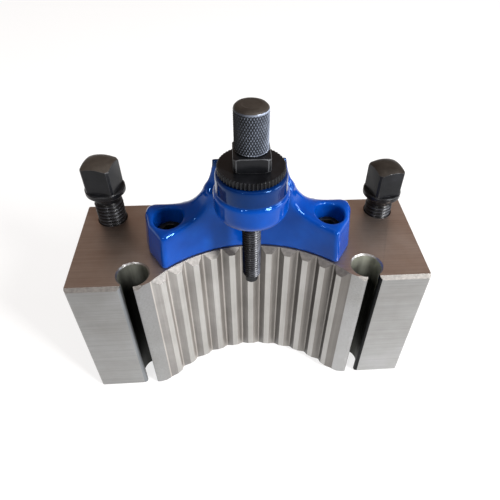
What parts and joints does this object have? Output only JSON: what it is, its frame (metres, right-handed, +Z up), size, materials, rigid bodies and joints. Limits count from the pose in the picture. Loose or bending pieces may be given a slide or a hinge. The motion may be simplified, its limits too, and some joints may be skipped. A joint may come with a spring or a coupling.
{
  "type": "quick change tool holder",
  "caption": "Block tool holder with a splined concave face, keyhole hook slots, a rear tool slot with square-head clamp screws, and a blue bracket carrying a knurled height screw.",
  "frame": {"origin": "under the middle of the bounding box of the whole assembly, on the surface the holder stands on", "axes": "+X along the block from its left end to its right end seen from the splined front, +Y towards the back where the tool slot opens, +Z up along the screws and the height stud"},
  "size_m": [0.12, 0.0468, 0.1162],
  "materials": {
    "ground_steel": "ground, fine lay lines",
    "blue_enamel": "gloss enamel on a casting",
    "black_oxide": "black oxide, slightly oily"
  },
  "bodies": {
    "holder": {"holder_body": "ground_steel", "height_bracket": "blue_enamel", "bracket_screw_left": "black_oxide", "bracket_screw_right": "black_oxide"},
    "clamp_left": {"clamp_screw_left": "black_oxide"},
    "clamp_middle": {"clamp_screw_middle": "black_oxide"},
    "clamp_right": {"clamp_screw_right": "black_oxide"},
    "height_screw": {"adjusting_stud": "black_oxide", "knurled_knob": "black_oxide"},
    "locking_nut": {"lock_nut": "black_oxide"},
    "disc_nut": {"serrated_nut": "black_oxide"}
  },
  "joints": [
    {"name": "clamp_left_feed", "type": "slide", "parent": "holder", "child": "clamp_left", "axis": [0, 0, 1], "range_m": [-0.0105, 0.006]},
    {"name": "clamp_middle_feed", "type": "slide", "parent": "holder", "child": "clamp_middle", "axis": [0, 0, 1], "range_m": [-0.0085, 0.006]},
    {"name": "clamp_right_feed", "type": "slide", "parent": "holder", "child": "clamp_right", "axis": [0, 0, 1], "range_m": [-0.0069, 0.006]},
    {"name": "height_feed", "type": "slide", "parent": "holder", "child": "height_screw", "axis": [0, 0, 1], "range_m": [0, 0.006]},
    {"name": "locking_nut_turn", "type": "hinge", "parent": "holder", "child": "locking_nut", "pos_m": [0, -0.01215, 0.1], "axis": [0, 0, 1], "continuous": true},
    {"name": "disc_nut_turn", "type": "hinge", "parent": "holder", "child": "disc_nut", "pos_m": [0, -0.01215, 0.097], "axis": [0, 0, 1], "continuous": true}
  ]
}
